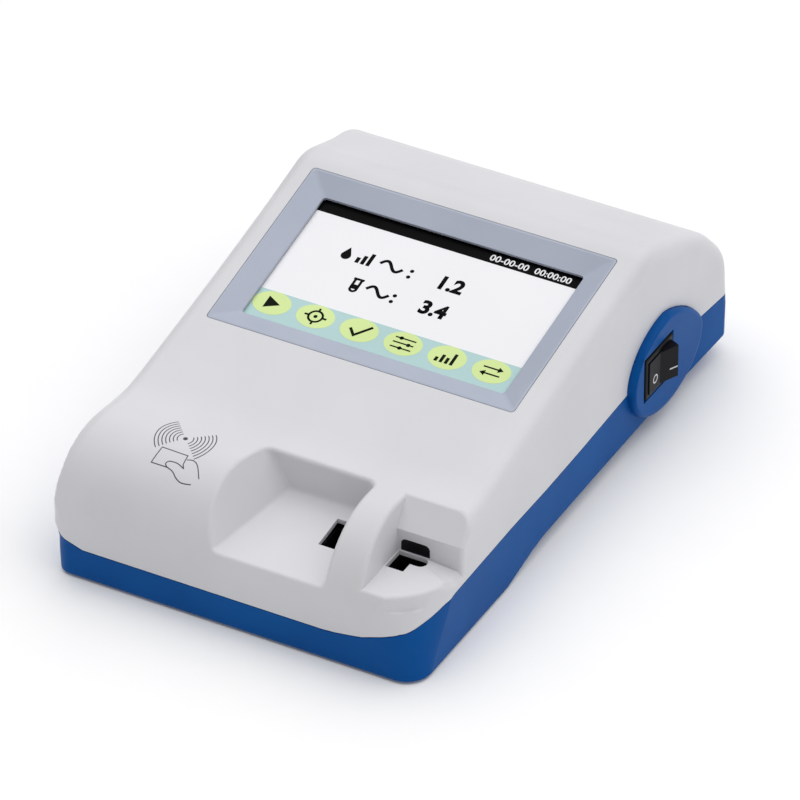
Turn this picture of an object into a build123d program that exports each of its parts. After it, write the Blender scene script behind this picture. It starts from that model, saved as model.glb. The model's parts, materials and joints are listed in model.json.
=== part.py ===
from build123d import *
from math import radians, tan
import os

# Bench-top glycated haemoglobin analyser: a white upper shell with two moulded wells,
# a blue lower shell with a raised switch pod, a sloped touch screen and the optics below.
# Millimetres. Layout: x from the centre line, y back from the front face, z from the lower
# edge of the housing. The finished pieces are moved together so that the origin is the
# middle of the model's underside: +X the operator's right, -Y the front, +Z up.

# Overall size: the housing is as wide as its display and the margins beside it
DEPTH = 355.0
BEZEL_WIDTH = 185.0
SIDE_MARGIN = 14.0
WAIST_WIDTH = BEZEL_WIDTH + 2 * SIDE_MARGIN
BASE_WIDTH = WAIST_WIDTH + 5.0
FRONT_WIDTH = WAIST_WIDTH + 19.0
REAR_WIDTH = WAIST_WIDTH + 11.0
LOFT_HEIGHT = 118.0
LOFT_FOOT = -1.0
BASE_BOW = 0.2
CORNER_SLACK = 0.02
FOOT_HEIGHT = 2.0
WALL = 2.8
CLEARANCE = 0.3

# Side view of the housing
FRONT_ROLL = 48.0
CONSOLE_HEIGHT = 76.5
SADDLE_Y = 74.0
SADDLE_HEIGHT = 72.0
SADDLE_ROLL = 90.0
SCREEN_TILT = 12.0
PEAK_Y = 266.0
PEAK_ROLL = 30.0
REAR_BREAK = (DEPTH - 32.0, 92.0)
REAR_EDGE = (DEPTH - 6.5, 66.0)
REAR_ROLLS = (45.0, 30.0)
LOWER_EDGE_RADIUS = 4.0
UNDERSIDE_RISE = 14.0
RISE_START_Y = 100.0
RISE_END_Y = 134.0
RISE_ROLL = 40.0
CREASE_RADIUS = 9.0
FRONT_LEFT_RADII = (8.0, 22.0)
FRONT_RIGHT_RADII = (14.0, 92.0)
REAR_RADII = (12.0, 16.0)

# Seam between the shells
FRONT_SEAM = 17.0
SIDE_SEAM = 41.0
SEAM_RAMP = (2.0, 33.0)
SEAM_ROLLS = (16.0, 22.0)
SEAM_GAP = 0.5
TONGUE = 1.6
TONGUE_HEIGHT = 3.0

# Display
BEZEL_LENGTH = 121.5
BEZEL_CENTRE_Y = 194.3
BEZEL_CORNER = 2.0
WINDOW_WIDTH = 158.5
WINDOW_LENGTH = 93.5
WINDOW_DEPTH = 4.7
WINDOW_CORNER = 2.0
BEZEL_LIP = 1.2
BEZEL_FLANGE = 3.6
FLANGE_THICKNESS = 3.4
GASKET_THICKNESS = 0.8
GASKET_WIDTH = 3.5
GLASS_MARGIN = 5.0
GLASS_THICKNESS = 1.4
LCD_THICKNESS = 5.7
BRACKET_THICKNESS = 1.2
BRACKET_BAND = 16.0
POST_DIAMETER = 6.0
DRIVER_BOARD = (90.0, 46.0)
DRIVER_SPACER = 4.0

# Left well, where the reagent cartridge stands
WELL_LEFT = -23.0
WELL_LEFT_FLOOR = -6.0
WELL_RIGHT = 51.0
WELL_REAR = 61.5
WELL_FLOOR_REAR = 50.0
WELL_FLOOR_FRONT = 41.5
WELL_LEFT_CORNER = 3.0
WELL_RIGHT_CORNER = 6.0
WELL_FLOOR_RADIUS = 2.8
RIM_RADIUS = 2.5
SLOT_LEFT = 33.0
SLOT_WIDTH = 14.0
SLOT_LENGTH = 21.0
SLOT_FRONT_Y = 31.0

# Right recess, where the sample port opens
RECESS_LEFT_RIM = 69.5
RECESS_LEFT_FLOOR = 73.0
RECESS_REAR = 63.5
RECESS_STEP_Y = 46.0
RECESS_STEP_HEIGHT = 60.0
RECESS_FLOOR = 47.0
PORT_LEFT = 73.5
PORT_WIDTH = 10.5
PORT_LENGTH = 15.5
LOBE_REACH = 8.0
LOBE_LENGTH = 8.0

# Switch pod and mains rocker
POD_Y = 272.0
POD_HALF_LENGTH = 44.0
POD_HALF_HEIGHT = 28.0
POD_PROUD = 3.0
POD_EDGE_RADIUS = 3.0
POD_POCKET = 1.6
POCKET_MARGIN = 1.5
SWITCH_Y = 264.0
FRAME_LENGTH = 31.0
FRAME_HEIGHT = 25.5
FRAME_THICKNESS = 2.2
SWITCH_BODY = (28.0, 23.0, 19.0)
ROCKER_RADIUS = 13.2
ROCKER_HEIGHT = 20.0
ROCKER_CLEARANCE = 0.25
ROCKER_ANGLE = 12.5
ROCKER_CENTRE_RISE = 2.8
PIVOT_DEPTH = 2.0
PIVOT_DIAMETER = 2.4
PIVOT_LENGTH = 1.0
PIVOT_CLEARANCE = 0.06
SWING_POCKET = 9.0
TERMINAL = (0.8, 6.3, 9.0)

# Bosses, screws and feet
BOSS_DIAMETER = 8.0
BOSS_RISE = 20.0
FRONT_BOSS = (BASE_WIDTH / 2 - 17.0, 72.0)
REAR_BOSS = (BASE_WIDTH / 2 - 21.0, DEPTH - 55.0)
SCREW_DIAMETER = 3.0
SCREW_HEAD_DIAMETER = 5.6
SCREW_HEAD_HEIGHT = 2.2
SCREW_REACH = 8.0
FOOT_DIAMETER = 14.0
FOOT_SOCKET = 1.0
FOOT_POST_DIAMETER = 19.0
FRONT_FOOT = (BASE_WIDTH / 2 - 25.0, 17.0)
REAR_FOOT = (BASE_WIDTH / 2 - 24.0, DEPTH - 27.0)

# Inside
BOARD_THICKNESS = 1.6
MAIN_BOARD = (112.0, 104.0)
MAIN_BOARD_CENTRE = (26.0, 210.0)
SUPPLY_BOARD = (60.0, 104.0)
SUPPLY_CENTRE = (-68.0, 216.0)
BOARD_STANDOFF = 7.0
STANDOFF_DIAMETER = 7.0
HOLE_INSET = 6.0
OPTICS_BASE = (84.0, 50.0, 6.0)
OPTICS_CENTRE = (58.0, 42.0)
GUIDE_WALL = 2.0
BEAM_HEIGHT = 24.0
LAMP_DIAMETER = 5.0
HEATER = (12.0, 3.0, 18.0)
ANTENNA_BOARD = (46.0, 30.0)
ANTENNA_CENTRE = (-60.0, 56.0)
ANTENNA_DROP = 8.0
INLET = (30.0, 22.0)
INLET_DEPTH = 16.0
INLET_CAVITY = 12.5
INLET_RIM = 3.5
INLET_PROUD = 1.8
CONNECTOR_PROUD = 0.8
CONNECTOR_LIP = 2.0
PIN = (2.0, 4.0)
PIN_SETBACK = 2.0
PIN_PLACES = ((-7.0, -2.0), (0.0, 2.0), (7.0, -2.0))
INLET_X = -60.0
SERIAL = (31.0, 12.5)
SERIAL_SHELL = (18.0, 8.5)
SERIAL_REACH = 6.0
SERIAL_DEPTH = 10.0
SHEET = 0.8
SERIAL_X = 10.0
USB = (17.0, 9.0)
USB_MOUTH = (12.5, 4.6)
USB_DEPTH = 14.0
USB_X = 48.0
PORT_Z = 28.7

screen_slope = tan(radians(SCREEN_TILT))
peak_height = SADDLE_HEIGHT + (PEAK_Y - SADDLE_Y) * screen_slope
pod_face_x = BASE_WIDTH / 2 + 1.0 + POD_PROUD
pocket_floor_x = pod_face_x - POD_POCKET
frame_face_x = pocket_floor_x + FRAME_THICKNESS
pivot_x = frame_face_x - PIVOT_DEPTH
pod_z = SIDE_SEAM
inner_floor_front = WALL
inner_floor_rear = UNDERSIDE_RISE + WALL
port_rear_y = RECESS_STEP_Y - 1.0
well_floor_slope = (WELL_FLOOR_REAR - WELL_FLOOR_FRONT) / WELL_REAR
bezel_underside = WALL + FLANGE_THICKNESS
glass_top = bezel_underside + GASKET_THICKNESS
lcd_top = glass_top + GLASS_THICKNESS
bracket_top = lcd_top + LCD_THICKNESS


def top_height(y):
    """Height of the screen plane above the lower edge of the housing."""
    return SADDLE_HEIGHT + (y - SADDLE_Y) * screen_slope


def well_floor(y):
    """Height of the left well's sloping floor."""
    return WELL_FLOOR_FRONT + y * well_floor_slope


def on_slope(y):
    """The plane of the screen slope, centred at a distance back from the front face."""
    return Plane(origin=(0, y, top_height(y)), x_dir=(1, 0, 0), z_dir=(0, -screen_slope, 1))


screen = on_slope(BEZEL_CENTRE_Y)
rear_lean = (REAR_EDGE[1] - UNDERSIDE_RISE, DEPTH - REAR_EDGE[0])
rear_face_y = DEPTH - rear_lean[1] * (PORT_Z - UNDERSIDE_RISE) / rear_lean[0]
rear_panel = Plane(
    origin=(0, rear_face_y, PORT_Z),
    x_dir=(-1, 0, 0),
    z_dir=(0, rear_lean[0], rear_lean[1]),
)


def slab(x_range, y_range, z_range):
    """An upright block between two values on each axis."""
    size = [high - low for low, high in (x_range, y_range, z_range)]
    low_corner = (x_range[0], y_range[0], z_range[0])
    corner = (Align.MIN, Align.MIN, Align.MIN)
    return Pos(*low_corner) * Box(*size, align=corner)


def post(x, y, z_low, z_high, diameter):
    """An upright round post."""
    height = z_high - z_low
    foot = (Align.CENTER, Align.CENTER, Align.MIN)
    return Pos(x, y, z_low) * Cylinder(diameter / 2, height, align=foot)


def on_plane(plane, length, width, high, low, x=0.0, y=0.0):
    """A block lying on a tilted plane, between two depths below it."""
    middle = -(high + low) / 2
    return plane * Pos(x, y, middle) * Box(length, width, low - high)


def rounded_plate(plane, length, width, radius, high, low):
    """A plate with rounded corners lying on a tilted plane, between two depths below it."""
    outline = plane.offset(-low) * RectangleRounded(length, width, radius)
    return extrude(outline, amount=low - high)


def across(outline, x_low, x_high):
    """A solid with a YZ outline, running from x_low to x_high."""
    face = make_face(Plane.YZ.offset(x_low) * outline)
    return extrude(face, amount=x_high - x_low, dir=(1, 0, 0))


def both_sides(x, y):
    return ((-x, y), (x, y))


# Housing body

def side_profile(inset):
    """Side view of the housing, flat below: front roll, saddle, screen slope and rear."""
    corners = [
        (0, 0),
        (0, CONSOLE_HEIGHT),
        (SADDLE_Y, SADDLE_HEIGHT),
        (PEAK_Y, peak_height),
        REAR_BREAK,
        REAR_EDGE,
        (DEPTH + UNDERSIDE_RISE * rear_lean[1] / rear_lean[0], 0),
    ]
    rolls = [FRONT_ROLL, SADDLE_ROLL, PEAK_ROLL, *REAR_ROLLS]
    top = FilletPolyline(*corners, radius=rolls)
    profile = make_face(Plane.YZ * (top + Line(top @ 1, top @ 0)))
    if inset:
        profile = offset(profile, amount=-inset)
    return profile


def plan_section(z, widths, inset):
    """Plan outline with straight ends and gently bowed sides."""
    front, waist, rear = [width / 2 - inset for width in widths]
    near, far = inset, DEPTH - inset
    right = ThreePointArc((front, near), (waist, DEPTH / 2), (rear, far))
    left = ThreePointArc((-rear, far), (-waist, DEPTH / 2), (-front, near))
    ends = Line((-front, near), (front, near)) + Line((rear, far), (-rear, far))
    return make_face(Plane.XY.offset(z) * (ends + right + left))


def corner_section(z, front_width, rear_width, radii, inset):
    """Plan outline that rounds the four upright corners."""
    front = front_width / 2 - inset + CORNER_SLACK
    rear = rear_width / 2 - inset + CORNER_SLACK
    near, far = inset, DEPTH - inset
    corners = [(-front, near), (front, near), (rear, far), (-rear, far)]
    rolls = [radius - inset for radius in radii]
    return make_face(Plane.XY.offset(z) * FilletPolyline(*corners, radius=rolls, close=True))


def crease_edges(solid):
    """Edges where the rolled top meets the two bowed sides."""
    sides = [face for face in solid.faces() if abs(face.normal_at(face.center()).X) > 0.5]
    return [edge for face in sides for edge in face.edges() if edge.center().Z > SIDE_SEAM]


def underside(lift):
    """The space below the housing, with its rise towards the rear."""
    line = FilletPolyline(
        (-DEPTH, lift),
        (RISE_START_Y, lift),
        (RISE_END_Y, UNDERSIDE_RISE + lift),
        (2 * DEPTH, UNDERSIDE_RISE + lift),
        radius=(LOWER_EDGE_RADIUS, RISE_ROLL),
    )
    rest = Polyline(line @ 1, (2 * DEPTH, -DEPTH), (-DEPTH, -DEPTH), line @ 0)
    return across(line + rest, -FRONT_WIDTH, FRONT_WIDTH)


def housing_body(inset=0.0):
    bar = extrude(side_profile(inset), amount=FRONT_WIDTH, both=True)
    low = plan_section(LOFT_FOOT, (BASE_WIDTH, BASE_WIDTH - BASE_BOW, BASE_WIDTH), inset)
    high = plan_section(LOFT_HEIGHT, (FRONT_WIDTH, WAIST_WIDTH, REAR_WIDTH), inset)
    solid = bar & loft([low, high], ruled=True)
    solid = fillet(crease_edges(solid), CREASE_RADIUS - inset)
    low_radii, high_radii = zip(FRONT_LEFT_RADII, FRONT_RIGHT_RADII, REAR_RADII, REAR_RADII)
    low = corner_section(LOFT_FOOT, BASE_WIDTH, BASE_WIDTH, low_radii, inset)
    high = corner_section(LOFT_HEIGHT, FRONT_WIDTH, REAR_WIDTH, high_radii, inset)
    return (solid & loft([low, high], ruled=True)) - underside(inset)


def seam_region(lift, above):
    """Everything above, or below, the seam raised by lift."""
    far = DEPTH * 2
    seam = FilletPolyline(
        (-far, FRONT_SEAM + lift),
        (SEAM_RAMP[0], FRONT_SEAM + lift),
        (SEAM_RAMP[1], SIDE_SEAM + lift),
        (far, SIDE_SEAM + lift),
        radius=SEAM_ROLLS,
    )
    end = far if above else -far
    rest = Polyline(seam @ 1, (far, end), (-far, end), seam @ 0)
    return across(seam + rest, -FRONT_WIDTH, FRONT_WIDTH)


# Wells

def quad(corners):
    return make_face(Polyline(*corners, close=True))


def left_well(grow=0.0):
    """The cartridge well: a sloping left wall, upright right and rear walls, open in front."""
    near = -FRONT_ROLL
    far = WELL_REAR + grow
    right = WELL_RIGHT + grow
    flare = (WELL_LEFT_FLOOR - WELL_LEFT) / (CONSOLE_HEIGHT - WELL_FLOOR_REAR)
    top = CONSOLE_HEIGHT * 1.3
    floor_left = WELL_LEFT_FLOOR - grow * 1.2
    top_left = floor_left - (top - WELL_FLOOR_REAR) * flare
    low_near = well_floor(near) - grow
    low_far = well_floor(far) - grow
    floor = quad([
        (floor_left, near, low_near),
        (right, near, low_near),
        (right, far, low_far),
        (floor_left, far, low_far),
    ])
    mouth = quad([(top_left, near, top), (right, near, top), (right, far, top), (top_left, far, top)])
    solid = loft([floor, mouth], ruled=True)
    upright = [edge for edge in solid.edges().filter_by(lambda e: e.center().Y > far - 1.0)]
    middle = (low_far + top) / 2
    corners = [edge for edge in upright if abs(edge.center().Z - middle) < 1.0]
    left_corner, right_corner = sorted(corners, key=lambda edge: edge.center().X)
    solid = fillet(left_corner, WELL_LEFT_CORNER + grow)
    right_corner = solid.edges().sort_by_distance(right_corner.center())[0]
    solid = fillet(right_corner, WELL_RIGHT_CORNER + grow)
    inside = solid.edges().filter_by(lambda e: e.center().Z < low_far + 1.0 and e.center().Y > near + 1.0)
    return fillet(inside, WELL_FLOOR_RADIUS + grow)


def right_recess(grow=0.0):
    """The port recess: a scooped rear ramp, a short upright step and a level floor."""
    top = CONSOLE_HEIGHT * 1.3
    ramp = (CONSOLE_HEIGHT - RECESS_STEP_HEIGHT) / (RECESS_REAR - RECESS_STEP_Y)
    mouth_y = RECESS_REAR + grow + (top - CONSOLE_HEIGHT) / ramp
    profile = Polyline(
        (-FRONT_ROLL, RECESS_FLOOR - grow),
        (RECESS_STEP_Y + grow, RECESS_FLOOR - grow),
        (RECESS_STEP_Y + grow, RECESS_STEP_HEIGHT - grow),
        (mouth_y, top),
        (-FRONT_ROLL, top),
        close=True,
    )
    hollow = across(profile, 0, FRONT_WIDTH)
    lean = (RECESS_LEFT_FLOOR - RECESS_LEFT_RIM) / (CONSOLE_HEIGHT - RECESS_FLOOR)
    side = make_face(Plane.XZ * Polyline(
        (RECESS_LEFT_FLOOR - grow + lean * RECESS_FLOOR, 0),
        (RECESS_LEFT_FLOOR - grow - lean * (top - RECESS_FLOOR), top),
        (FRONT_WIDTH, top),
        (FRONT_WIDTH, 0),
        close=True,
    ))
    return hollow & extrude(side, amount=DEPTH, both=True)


def port_outline(grow=0.0):
    """Keyhole of the sample port: a long hole with a round-ended lobe to its right."""
    centre_x = PORT_LEFT + PORT_WIDTH / 2
    centre_y = port_rear_y - PORT_LENGTH / 2
    hole = Pos(centre_x, centre_y) * Rectangle(PORT_WIDTH + 2 * grow, PORT_LENGTH + 2 * grow)
    lobe_y = port_rear_y - LOBE_LENGTH / 2
    reach = PORT_WIDTH / 2 + LOBE_REACH - LOBE_LENGTH / 2
    bar = Pos(centre_x + reach / 2, lobe_y) * Rectangle(reach, LOBE_LENGTH + 2 * grow)
    end = Pos(centre_x + reach, lobe_y) * Circle(LOBE_LENGTH / 2 + grow)
    return hole + bar + end


def slot_centre():
    return (SLOT_LEFT + SLOT_WIDTH / 2, SLOT_FRONT_Y + SLOT_LENGTH / 2)


def slot_cut():
    x, y = slot_centre()
    return Pos(x, y, WELL_FLOOR_REAR) * Box(SLOT_WIDTH, SLOT_LENGTH, 4 * WALL + well_floor_slope * SLOT_LENGTH)


def port_cut():
    return extrude(Pos(0, 0, RECESS_FLOOR - 2 * WALL) * port_outline(), amount=4 * WALL)


def rim_edges(solid, body, well):
    """Edges where a well breaks through the outside of the body."""
    found = []
    for edge in solid.edges():
        spot = Vertex(*(edge @ 0.5))
        if body.shell().distance_to(spot) < 0.01 and well.shell().distance_to(spot) < 0.01:
            found.append(edge)
    return found


# Switch pod

def ellipse_prism(grow, x_low, x_high):
    face = Plane.YZ.offset(x_low) * Pos(POD_Y, pod_z) * Ellipse(POD_HALF_LENGTH + grow, POD_HALF_HEIGHT + grow)
    return extrude(face, amount=x_high - x_low, dir=(1, 0, 0))


def switch_block(length, height, x_low, x_high):
    size = (x_high - x_low, length, height)
    return Pos((x_low + x_high) / 2, SWITCH_Y, pod_z) * Box(*size)


def switch_pod():
    inner_x = pod_face_x - POD_POCKET - WALL
    skirt_x = BASE_WIDTH / 2 - 2 * WALL
    pod = ellipse_prism(0, skirt_x, pod_face_x)
    outer = [edge for edge in pod.edges() if edge.center().X > pod_face_x - 0.1]
    pod = fillet(outer, POD_EDGE_RADIUS)
    pod -= ellipse_prism(-WALL, skirt_x - 1.0, inner_x)
    pod -= switch_block(FRAME_LENGTH + 2 * POCKET_MARGIN, FRAME_HEIGHT + 2 * POCKET_MARGIN, pocket_floor_x, pod_face_x + 1.0)
    return pod - switch_block(SWITCH_BODY[0] + 2 * CLEARANCE, SWITCH_BODY[1] + 2 * CLEARANCE, inner_x - 1.0, pod_face_x)


# Shells

def boss_sites():
    front = [(x, y, inner_floor_front) for x, y in both_sides(*FRONT_BOSS)]
    rear = [(x, y, inner_floor_rear) for x, y in both_sides(*REAR_BOSS)]
    return front + rear


def foot_sites():
    return both_sides(*FRONT_FOOT) + both_sides(*REAR_FOOT)


def upper_housing(body, hollow):
    wells = [left_well(), right_recess()]
    shell = body
    for well in wells:
        shell = shell - well
        shell = fillet(rim_edges(shell, body, well), RIM_RADIUS)
    walls = left_well(WALL) + right_recess(WALL)
    shell = shell - (hollow - walls)
    posts = [post(x, y, z + BOSS_RISE, LOFT_HEIGHT, BOSS_DIAMETER) for x, y, z in boss_sites()]
    antenna_z = antenna_height() + BOARD_THICKNESS
    for x in (-1, 1):
        spot = ANTENNA_CENTRE[0] + x * (ANTENNA_BOARD[0] / 2 - HOLE_INSET)
        posts.append(post(spot, ANTENNA_CENTRE[1], antenna_z, LOFT_HEIGHT, BOSS_DIAMETER))
    for stem in posts:
        stem = stem & body
        for well in wells:
            stem = stem - well
        shell = shell + stem
    for x, y, z in boss_sites():
        shell = shell - post(x, y, z + BOSS_RISE - 1.0, z + BOSS_RISE + SCREW_REACH + 1.0, SCREW_DIAMETER)
    shell = shell & seam_region(SEAM_GAP, True)
    shell = shell - ellipse_prism(CLEARANCE, BASE_WIDTH / 2 - 4 * WALL, FRONT_WIDTH)
    opening = (BEZEL_WIDTH + 2 * CLEARANCE, BEZEL_LENGTH + 2 * CLEARANCE, BEZEL_CORNER + CLEARANCE)
    shell = shell - rounded_plate(screen, *opening, -WALL, 2 * WALL) - slot_cut() - port_cut()
    return shell.solids().sort_by(SortBy.VOLUME)[-1]


def lower_housing(body, hollow):
    shell = (body - hollow) & seam_region(0, False)
    tongue = (hollow - housing_body(WALL + TONGUE)) & seam_region(TONGUE_HEIGHT, False)
    tongue = tongue & seam_region(-2 * TONGUE_HEIGHT, True)
    shell = shell + tongue + switch_pod()
    shell = shell - switch_block(SWITCH_BODY[0] + 2 * CLEARANCE, SWITCH_BODY[1] + 2 * CLEARANCE, 0, pocket_floor_x)
    for x, y, z in boss_sites():
        shell = shell + post(x, y, z - WALL, z + BOSS_RISE, BOSS_DIAMETER)
        shell = shell - post(x, y, z - 2 * WALL, z + BOSS_RISE + 1.0, SCREW_DIAMETER)
        shell = shell - post(x, y, z - 2 * WALL, z - WALL + SCREW_HEAD_HEIGHT, SCREW_HEAD_DIAMETER)
    for x, y in both_sides(*REAR_FOOT):
        shell = shell + post(x, y, 0, UNDERSIDE_RISE + WALL, FOOT_POST_DIAMETER)
    for x, y in foot_sites():
        shell = shell - post(x, y, -1.0, FOOT_SOCKET, FOOT_DIAMETER)
    for size, centre in ((MAIN_BOARD, MAIN_BOARD_CENTRE), (SUPPLY_BOARD, SUPPLY_CENTRE)):
        for x, y in board_holes(size, centre):
            shell = shell + post(x, y, UNDERSIDE_RISE, inner_floor_rear + BOARD_STANDOFF, STANDOFF_DIAMETER)
    for size, x in ((INLET, INLET_X), (SERIAL, SERIAL_X), (USB, USB_X)):
        cut = [side - CONNECTOR_LIP for side in size]
        shell = shell - on_plane(rear_panel, *cut, -WALL, 2 * WALL, -x)
    return shell.solids().sort_by(SortBy.VOLUME)[-1]


# Display stack

def display_bezel():
    frame = rounded_plate(screen, BEZEL_WIDTH, BEZEL_LENGTH, BEZEL_CORNER, 0, bezel_underside)
    flange_size = (BEZEL_WIDTH + 2 * BEZEL_FLANGE, BEZEL_LENGTH + 2 * BEZEL_FLANGE)
    frame += on_plane(screen, *flange_size, WALL, bezel_underside)
    depths = (-WINDOW_DEPTH, WINDOW_DEPTH, 2 * bezel_underside)
    frame -= loft([funnel_section(depth) for depth in depths], ruled=True)
    for x, y in display_posts():
        stem = Cylinder(POST_DIAMETER / 2, bracket_top - bezel_underside)
        frame += screen * Pos(x, y, -(bracket_top + bezel_underside) / 2) * stem
    return frame


def funnel_section(depth):
    """Section of the bezel's inside at a depth: its lip at 0, the window from WINDOW_DEPTH down."""
    part = min(depth / WINDOW_DEPTH, 1.0)
    width = (BEZEL_WIDTH - 2 * BEZEL_LIP) * (1 - part) + WINDOW_WIDTH * part
    length = (BEZEL_LENGTH - 2 * BEZEL_LIP) * (1 - part) + WINDOW_LENGTH * part
    return (screen * Pos(0, 0, -depth) * RectangleRounded(width, length, WINDOW_CORNER)).face()


def display_posts():
    x = BEZEL_WIDTH / 2 + BEZEL_FLANGE - POST_DIAMETER / 2 - CLEARANCE
    y = BEZEL_LENGTH / 2 - 2 * POST_DIAMETER
    return [(side * x, end * y) for side in (-1, 1) for end in (-1, 1)]


def screen_gasket():
    outer = (WINDOW_WIDTH + 2 * GASKET_WIDTH, WINDOW_LENGTH + 2 * GASKET_WIDTH)
    inner = (WINDOW_WIDTH + 2 * CLEARANCE, WINDOW_LENGTH + 2 * CLEARANCE)
    ring = on_plane(screen, *outer, bezel_underside, glass_top)
    return ring - on_plane(screen, *inner, 0, 2 * glass_top)


def glass_size():
    return (WINDOW_WIDTH + 2 * GLASS_MARGIN, WINDOW_LENGTH + 2 * GLASS_MARGIN)


def touch_panel():
    return on_plane(screen, *glass_size(), glass_top, lcd_top)


def lcd_module():
    return on_plane(screen, *glass_size(), lcd_top, bracket_top)


def lcd_bracket():
    """Pressed plate that holds the panel against the bezel, open in the middle."""
    bottom = bracket_top + BRACKET_THICKNESS
    outer = (BEZEL_WIDTH + 2 * BEZEL_FLANGE, BEZEL_LENGTH - 2 * POST_DIAMETER)
    inner = [side - 2 * BRACKET_BAND for side in glass_size()]
    plate = on_plane(screen, *outer, bracket_top, bottom)
    plate -= on_plane(screen, *inner, 0, 2 * bottom)
    for x, y in display_posts():
        plate -= screen * Pos(x, y, -bracket_top) * Cylinder(SCREW_DIAMETER / 2, 3 * BRACKET_THICKNESS)
    return plate


def display_screws():
    head_top = bracket_top + BRACKET_THICKNESS
    screws = []
    for x, y in display_posts():
        head = Cylinder(SCREW_HEAD_DIAMETER / 2, SCREW_HEAD_HEIGHT)
        screw = screen * Pos(x, y, -head_top - SCREW_HEAD_HEIGHT / 2) * head
        shank = Cylinder(SCREW_DIAMETER / 2 - CLEARANCE / 3, BRACKET_THICKNESS)
        screws.append(screw + screen * Pos(x, y, -bracket_top - BRACKET_THICKNESS / 2) * shank)
    return Compound(screws)


def driver_board():
    """Board across the bracket's opening, on two spacers of its own."""
    seat = bracket_top + BRACKET_THICKNESS
    top = seat + DRIVER_SPACER
    reach = WINDOW_WIDTH / 2 - BRACKET_BAND / 2
    bottom = top + BOARD_THICKNESS
    plate = on_plane(screen, *DRIVER_BOARD, top, bottom)
    plate += on_plane(screen, 2 * reach, DRIVER_BOARD[1] / 3, top, bottom)
    for x in (-reach, reach):
        plate += on_plane(screen, DRIVER_SPACER, DRIVER_SPACER, seat, bottom, x)
    return plate


# Switch

def switch_frame():
    opening = (2 * (ROCKER_RADIUS + ROCKER_CLEARANCE), ROCKER_HEIGHT + 2 * ROCKER_CLEARANCE)
    frame = switch_block(FRAME_LENGTH, FRAME_HEIGHT, pocket_floor_x, frame_face_x)
    front = [edge for edge in frame.edges() if edge.center().X > frame_face_x - 0.1]
    frame = fillet(front, 0.8)
    back_x = pocket_floor_x - SWITCH_BODY[2]
    frame += switch_block(SWITCH_BODY[0], SWITCH_BODY[1], back_x, pocket_floor_x)
    frame -= switch_block(*opening, pivot_x - SWING_POCKET, frame_face_x + 1.0)
    pin_room = Cylinder(PIVOT_DIAMETER / 2 + PIVOT_CLEARANCE, opening[1] + 2 * PIVOT_LENGTH)
    return frame - Pos(pivot_x, SWITCH_Y, pod_z) * pin_room


def switch_rocker():
    """Two-faced rocker, drawn level and then turned so that its front half is pressed in."""
    rise = ROCKER_RADIUS * tan(radians(ROCKER_ANGLE))
    half = ROCKER_RADIUS
    face = make_face(Polyline(
        (ROCKER_CENTRE_RISE, 0),
        (ROCKER_CENTRE_RISE + rise, half),
        (-half / 4, half),
        (-half / 2, half / 3),
        (-half / 2, -half / 3),
        (-half / 4, -half),
        (ROCKER_CENTRE_RISE + rise, -half),
        close=True,
    ))
    rocker = extrude(face & Circle(half), amount=ROCKER_HEIGHT / 2, both=True)
    rocker += Cylinder(PIVOT_DIAMETER / 2, ROCKER_HEIGHT + 2 * PIVOT_LENGTH)
    return Pos(pivot_x, SWITCH_Y, pod_z) * Rot(0, 0, -ROCKER_ANGLE) * rocker


def switch_terminals():
    back_x = pocket_floor_x - SWITCH_BODY[2]
    blades = []
    for y in (-1, 1):
        for z in (-1, 1):
            blade = Box(TERMINAL[2], TERMINAL[0], TERMINAL[1])
            blades.append(Pos(back_x - TERMINAL[2] / 2, SWITCH_Y + 7.0 * y, pod_z + 5.0 * z) * blade)
    return Compound(blades)


# Boards and power

def board_holes(size, centre):
    x = size[0] / 2 - HOLE_INSET
    y = size[1] / 2 - HOLE_INSET
    return [(centre[0] + i * x, centre[1] + j * y) for i in (-1, 1) for j in (-1, 1)]


def board_z():
    return inner_floor_rear + BOARD_STANDOFF


def board_top():
    return board_z() + BOARD_THICKNESS


def board(size, centre):
    plate = Pos(centre[0], centre[1], board_z() + BOARD_THICKNESS / 2) * Box(size[0], size[1], BOARD_THICKNESS)
    for x, y in board_holes(size, centre):
        plate -= post(x, y, board_z() - 1.0, board_top() + 1.0, SCREW_DIAMETER)
    return plate


def on_board(centre, offset_xy, size):
    """A component standing on a board."""
    x = centre[0] + offset_xy[0]
    y = centre[1] + offset_xy[1]
    return Pos(x, y, board_top() + size[2] / 2) * Box(*size)


def board_screws():
    screws = []
    for size, centre in ((MAIN_BOARD, MAIN_BOARD_CENTRE), (SUPPLY_BOARD, SUPPLY_CENTRE)):
        for x, y in board_holes(size, centre):
            shank = post(x, y, board_z(), board_top(), SCREW_DIAMETER - CLEARANCE)
            screws.append(shank + post(x, y, board_top(), board_top() + SCREW_HEAD_HEIGHT, SCREW_HEAD_DIAMETER))
    return Compound(screws)


def board_connectors():
    places = [((-30, 40), (26, 6, 8)), ((20, 40), (34, 6, 8)), ((44, -10), (6, 22, 8)), ((-44, -10), (6, 18, 8))]
    return Compound([on_board(MAIN_BOARD_CENTRE, spot, size) for spot, size in places])


def processor():
    return on_board(MAIN_BOARD_CENTRE, (0, 0), (24, 24, 1.6))


def buzzer():
    x = MAIN_BOARD_CENTRE[0] + 30
    y = MAIN_BOARD_CENTRE[1] - 30
    can = post(x, y, board_top(), board_top() + 7.5, 12)
    return can - post(x, y, board_top() + 5.0, board_top() + 8.5, 2)


def supply_transformer():
    core = on_board(SUPPLY_CENTRE, (4, -10), (34, 30, 26))
    return core + on_board(SUPPLY_CENTRE, (4, -10), (26, 38, 18))


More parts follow.
